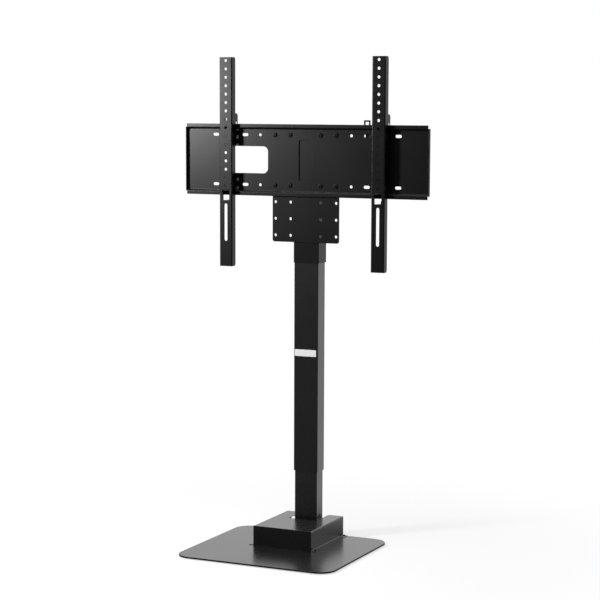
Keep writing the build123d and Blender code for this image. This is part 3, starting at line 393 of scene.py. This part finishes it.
def turned(shape, centre, rows, segments):
    """Adds a round solid on an upright axis. A row is a height and a radius, or a radius for each segment."""
    rings = []
    for height, radii in rows:
        radii = radii if isinstance(radii, list) else [radii] * segments
        rings.append([shape.verts.new(((centre[0] + radius * math.cos(math.tau * step / segments)) * mm,
                                       (centre[1] + radius * math.sin(math.tau * step / segments)) * mm,
                                       height * mm)) for step, radius in enumerate(radii)])
    for low, high in zip(rings, rings[1:]):
        for here in range(segments):
            after = (here + 1) % segments
            shape.faces.new((low[here], low[after], high[after]))
            shape.faces.new((low[here], high[after], high[here]))
    shape.faces.new(rings[0][::-1])
    shape.faces.new(rings[-1])


def thread(low, high, crest, root, pitch, starts, flat, steps, segments):
    """Rows of a right hand thread. flat is the share of a pitch that its crest takes, and its root."""
    flank = 0.5 - flat
    rows = []
    for row in range(round((high - low) * steps / pitch) + 1):
        height = low + row * pitch / steps
        radii = []
        for segment in range(segments):
            phase = (row / steps - starts * segment / segments) % 1
            share = min(max((abs(phase - 0.5) - flat / 2) / flank, 0), 1)
            radii.append(crest + (root - crest) * share)
        rows.append((height, radii))
    return rows


# Sizes of the screws, welds and pins are in millimetres.
# Threaded lock screws: fluted head below, metric thread above
flutes, flute_radius, head_radius, head_height = 10, 0.8, 6.0, 7.0
head_edge = 0.5
lock_crest, lock_root, lock_pitch, lock_tip = 3.0, 2.45, 1.0, 2.2
neck_radius = 2.5
head_segments = 6 * flutes
fluted = []
for segment in range(head_segments):
    turn = math.remainder(math.tau * segment / head_segments, math.tau / flutes)
    reach = flute_radius ** 2 - (head_radius * math.sin(turn)) ** 2
    fluted.append(head_radius * math.cos(turn) - math.sqrt(reach) if reach > 0 else head_radius)
softened = [radius - head_edge for radius in fluted]
for side in ("left", "right"):
    low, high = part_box(f"{side}_lock_screw")
    foot, tip = low.z / mm, high.z / mm
    head_top = foot + head_height
    screw = bmesh.new()
    rows = [(foot, softened), (foot + head_edge, fluted), (head_top - head_edge, fluted),
            (head_top, softened), (head_top, neck_radius)]
    rows += thread(head_top + head_edge, tip - head_edge, lock_crest, lock_root, lock_pitch,
                   starts=1, flat=0.12, steps=6, segments=head_segments)
    rows += [(tip, lock_tip)]
    turned(screw, middle(low, high), rows, head_segments)
    piece(f"lock_screw_{side}", screw, finishes["zinc_fastener"], f"{side}_lock", "zinc_fastener",
          f"{side}_lock_screw")

# Lead screw with its three start trapezoidal thread, thrust collar and journal
lift_crest, lift_root, lift_pitch, lift_end = 8.0, 6.0, 4.0, 5.2
collar_radius, collar_height, collar_edge = 13.0, 6.0, 0.5
journal_length = 24.6  # above the collar
foot_chamfer, top_chamfer, thread_stop = 0.9, 0.8, 1.5
lift_segments = 24
low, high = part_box("lead_screw")
column = (0.0, (low.y + high.y) / 2 / mm)
screw_foot, screw_top = low.z / mm, high.z / mm
collar_high = screw_top - journal_length
collar_low = collar_high - collar_height
collar_rim = collar_radius - collar_edge
screw = bmesh.new()
rows = [(screw_foot, lift_end), (screw_foot + foot_chamfer, lift_root)]
rows += thread(screw_foot + thread_stop, collar_low - thread_stop, lift_crest, lift_root, lift_pitch,
               starts=3, flat=0.366, steps=8, segments=lift_segments)
rows += [(collar_low - 1.0, lift_root), (collar_low, lift_root), (collar_low, collar_rim),
         (collar_low + collar_edge, collar_radius), (collar_high - collar_edge, collar_radius),
         (collar_high, collar_rim), (collar_high, lift_root), (screw_top - top_chamfer, lift_root),
         (screw_top, lift_end)]
turned(screw, column, rows, lift_segments)
piece("lift_screw", screw, finishes["bright_steel"], "drive_screw", "bright_steel", "lead_screw")


# Outline of a fillet weld, as shares of its size away from the corner and up from it
bead_outline = ((-0.1, -0.1), (1.0, -0.1), (0.82, 0.3), (0.6, 0.6), (0.3, 0.82), (-0.1, 1.0))


def bead(shape, corners, outward, up, size, ripple=1.6):
    """Adds a fillet weld along corners, open or closed.

    outward, one for each stretch, and up point away from the corner that it fills.
    """
    closed = corners[0] == corners[-1]
    spots = []
    for index, (start, end) in enumerate(zip(corners, corners[1:])):
        count = max(round((end - start).length / ripple), 1)
        spots += [(start.lerp(end, step / count), index) for step in range(count)]
    if not closed:
        spots.append((corners[-1], len(corners) - 2))
    rings = []
    for number, (spot, index) in enumerate(spots):
        full = size * (1.0 if number % 2 else 0.9)
        away = outward[index]
        rings.append([shape.verts.new((spot + away * across * full + up * rise * full) * mm)
                      for across, rise in bead_outline])
    pairs = list(zip(rings, rings[1:]))
    if closed:
        pairs.append((rings[-1], rings[0]))
    for near, far in pairs:
        for here in range(len(bead_outline)):
            after = (here + 1) % len(bead_outline)
            shape.faces.new((near[here], near[after], far[after], far[here]))
    if not closed:
        shape.faces.new(rings[0][::-1])
        shape.faces.new(rings[-1])


# Weld round the fixed tube's foot
weld_finish = weld_metal()
low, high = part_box("inner_tube")
tube_low, tube_high = low / mm, high / mm
corner, foot_weld_size = 3.0, 3.2
left, right = tube_low.x + corner, tube_high.x - corner
front, back = tube_low.y + corner, tube_high.y - corner
weld = bmesh.new()
corners, outward = [], []
quarters = ((right, back, 0), (left, back, 90), (left, front, 180), (right, front, 270))
for centre_x, centre_y, first in quarters:
    for turn in (0, 30, 60, 90):
        way = Vector((math.cos(math.radians(first + turn)), math.sin(math.radians(first + turn)), 0))
        corners.append(Vector((centre_x, centre_y, tube_low.z)) + way * corner)
        outward.append(way)
corners.append(corners[0].copy())
bead(weld, corners, outward, Vector((0, 0, 1)), foot_weld_size)
piece("foot_weld", weld, weld_finish, "base", "black_coat", angle=50)

# Stitch welds of the head bracket to the adapter's back
stitch_heights, stitch_half, stitch_size = (940, 1045, 1150, 1210), 14, 2.4
low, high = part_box("head_bracket")
adapter_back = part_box("adapter_plate")[1].y / mm
weld = bmesh.new()
for side, edge in ((-1, low.x), (1, high.x)):
    for stitch in stitch_heights:
        ends = [Vector((edge / mm, adapter_back, stitch + end * stitch_half)) for end in (-1, 1)]
        bead(weld, ends, [Vector((side, 0, 0))], Vector((0, 1, 0)), stitch_size)
piece("bracket_welds", weld, weld_finish, "lift", "black_coat", angle=50)

# Contact pins of the power inlet and of the motor's socket
pin_finish = tinned_pin()
low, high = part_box("power_inlet")
inlet = middle(low, high)
mouth = low.z / mm
pin_rows = [(mouth + 2.6, 0.7), (mouth + 3.0, 1.1), (mouth + 8.3, 1.1)]
pins = bmesh.new()
for side in (-4.0, 4.0):
    turned(pins, (inlet[0] + side, inlet[1]), pin_rows, 16)
piece("inlet_pins", pins, pin_finish, "lift", "black_plastic")
low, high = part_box("motor_socket")
pin_circle = 3.3
socket = middle(low, high)
mouth = high.z / mm
pin_rows = [(mouth - 8.3, 0.7), (mouth - 3.4, 0.7), (mouth - 3.0, 0.4)]
pins = bmesh.new()
for turn in (0, 45, 90, 135, 180):
    turn = math.radians(turn)
    spot = (socket[0] + pin_circle * math.cos(turn), socket[1] + pin_circle * math.sin(turn))
    turned(pins, spot, pin_rows, 12)
piece("socket_pins", pins, pin_finish, "lift", "black_plastic")

# Studio: a pale floor that fades into the white background, a key lamp at the left front and a soft top lamp
white_from = (0.3, 1.3)    # metres from the base's centre, between which the floor fades to white
reflection_shade_from = (0.25, 0.8)  # and between which its reflection on the stand brightens out of a painted shade near the base
floor_reach = 6.0          # half its width


def studio_floor():
    """Pale floor that keeps the stand's shadow near it and fades to the white background further out. In
    reflections its glow is painted darker near the base, as shade, and is darker towards the front.
    """
    floor = Finish("studio_floor")
    x, y = floor.along()[:2]
    distance = (x * x + y * y).math("SQRT")
    far = distance.step(*white_from)
    seen = floor.node("LightPath", {}, {}, "Is Camera Ray")
    mirrored = floor.node("LightPath", {}, {}, "Is Glossy Ray")
    matt = floor.node("BsdfDiffuse", {}, {"Color": grey(0.8)})
    # painted shade: as the stand reflects it, the floor is darker near the base and towards the front
    near = distance.step(*reflection_shade_from) * 0.8 + 0.2
    bright = seen + mirrored * (y.step(-0.6, 0.5) * 0.82 + 0.18) * near
    white = floor.node("Emission", {}, {"Color": grey(1.0), "Strength": bright})
    shader = floor.node("MixShader", {}, {0: seen * (far * 0.4 + 0.6) + mirrored, 1: matt, 2: white})
    floor.node("OutputMaterial", {}, {"Surface": shader})
    return floor.material


sheet = bmesh.new()
bmesh.ops.create_grid(sheet, x_segments=8, y_segments=8, size=floor_reach)
floor_mesh = bpy.data.meshes.new("floor")
sheet.to_mesh(floor_mesh)
floor = bpy.data.objects.new("floor", floor_mesh)
floor.data.materials.append(studio_floor())
bpy.context.scene.collection.objects.link(floor)


def soft_lamp(name, place, aim, width, height, power):
    lamp = bpy.data.lights.new(name, "AREA")
    lamp.shape = "RECTANGLE"
    lamp.size = width
    lamp.size_y = height
    lamp.energy = power
    stand = bpy.data.objects.new(name, lamp)
    stand.location = place
    stand.rotation_euler = (Vector(aim) - Vector(place)).to_track_quat("-Z", "Y").to_euler()
    bpy.context.scene.collection.objects.link(stand)


soft_lamp("key_lamp", (-1.43, -1.385, 1.42), aim=(0, 0.12, 1.1), width=0.3, height=0.3, power=38)
soft_lamp("top_lamp", (-0.6, -0.6, 3.2), aim=(0, 0, 0.6), width=2.4, height=2.4, power=60)

studio = Finish("studio", bpy.data.worlds)
bpy.context.scene.world = studio.material
ray = {name: studio.node("LightPath", {}, {}, f"Is {name} Ray")
       for name in ("Camera", "Glossy", "Transmission")}
backdrop = (ray["Camera"] + ray["Transmission"]).math("MINIMUM", 1.0)
heading = studio.node("TexCoord", {}, {}, "Generated")
heading_y = studio.node("SeparateXYZ", {}, {"Vector": heading}, "Y")
mirrored = heading_y.step(-0.85, 0.25) * 0.89 + 0.06
strength = backdrop + (1 - backdrop) * (ray["Glossy"] * mirrored + (1 - ray["Glossy"]) * 0.55)
background = studio.node("Background", {}, {"Color": grey(1.0), "Strength": strength})
studio.node("OutputWorld", {}, {"Surface": background})

# Camera, fitted to the photograph's hole rows and edges. Its focal length and centre row are in pixels of a
# 600 x 600 frame
focal, centre_row, picture = 1885.27, 363.27, 600
eye = (2.40069, -4.97655, 1.33652)
yaw, pitch, roll = math.radians(25.2507), math.radians(7.9333), math.radians(-0.193)
ahead = Vector((-math.sin(yaw) * math.cos(pitch), math.cos(yaw) * math.cos(pitch), -math.sin(pitch)))
level = Vector((math.cos(yaw), math.sin(yaw), 0))
below = ahead.cross(level)
across = level * math.cos(roll) + below * math.sin(roll)
down = below * math.cos(roll) - level * math.sin(roll)
lens = bpy.data.cameras.new("camera")
lens.sensor_width = 36.0
lens.lens = focal * lens.sensor_width / picture
lens.shift_y = (centre_row - picture / 2) / picture
lens.clip_end = 100.0
camera = bpy.data.objects.new("camera", lens)
turn = Matrix((across, -down, -ahead)).transposed()
camera.matrix_world = Matrix.Translation(eye) @ turn.to_4x4()
bpy.context.scene.collection.objects.link(camera)
bpy.context.scene.camera = camera
bpy.context.scene.view_settings.view_transform = "Standard"
